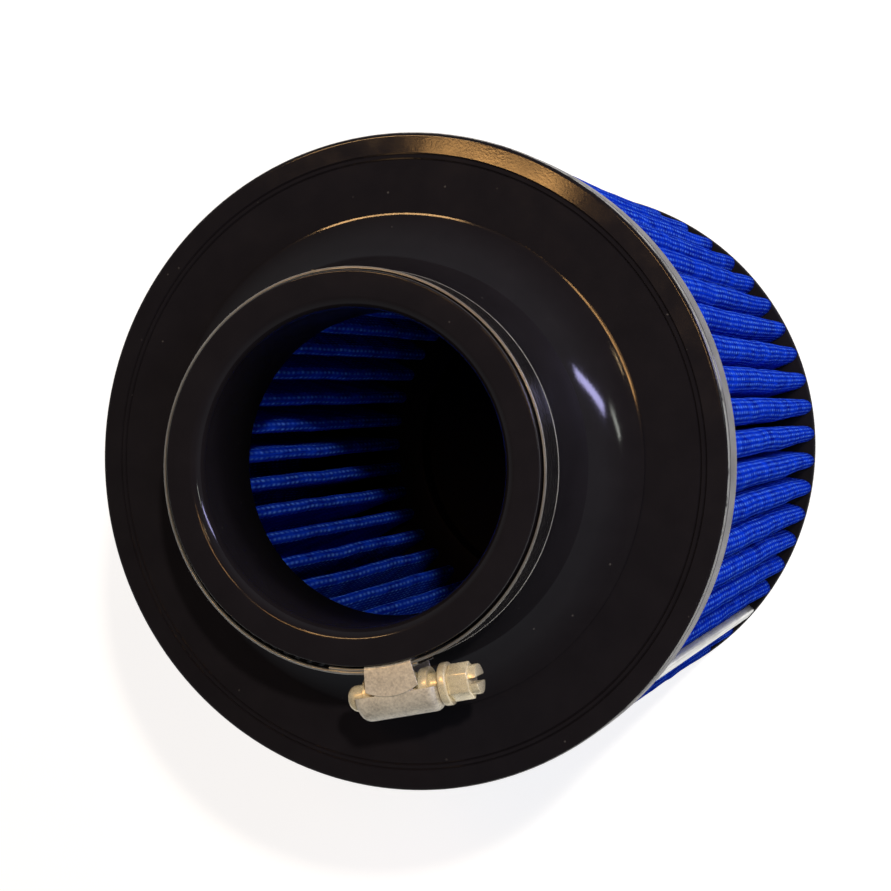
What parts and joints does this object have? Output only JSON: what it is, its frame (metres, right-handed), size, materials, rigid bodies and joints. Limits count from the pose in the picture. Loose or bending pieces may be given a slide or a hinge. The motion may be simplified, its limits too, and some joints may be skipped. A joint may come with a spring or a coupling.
{
  "type": "cylindrical air filter",
  "caption": "Pleated gauze air filter, open-necked rubber base at one end and a closed cap at the other, with a worm clamp to fasten its neck on an intake pipe.",
  "frame": {"origin": "middle of the closed end's outer face, which the filter stands on", "axes": "+Z along the filter's axis, out of the neck; the clamp's housing lies near -Y, with its screw head towards +X"},
  "size_m": [0.168, 0.168, 0.209],
  "materials": {
    "black_rubber": "moulded, half gloss",
    "blue_gauze": "woven gauze",
    "clip_metal": "plain sheet",
    "band_steel": "bright rolled strip",
    "plated_steel": "zinc plated"
  },
  "bodies": {
    "filter": {"base_flange": "black_rubber", "pleated_media": "blue_gauze", "seam_clip": "clip_metal", "end_cap": "black_rubber", "clamp_band": "band_steel", "clamp_saddle": "band_steel", "clamp_housing": "band_steel"},
    "screw": {"clamp_screw": "plated_steel"}
  },
  "joints": [
    {"name": "screw_turn", "type": "hinge", "parent": "filter", "child": "screw", "pos_m": [0.01041, -0.05355, 0.2015], "axis": [0.9816, 0.1908, 0], "continuous": true}
  ]
}
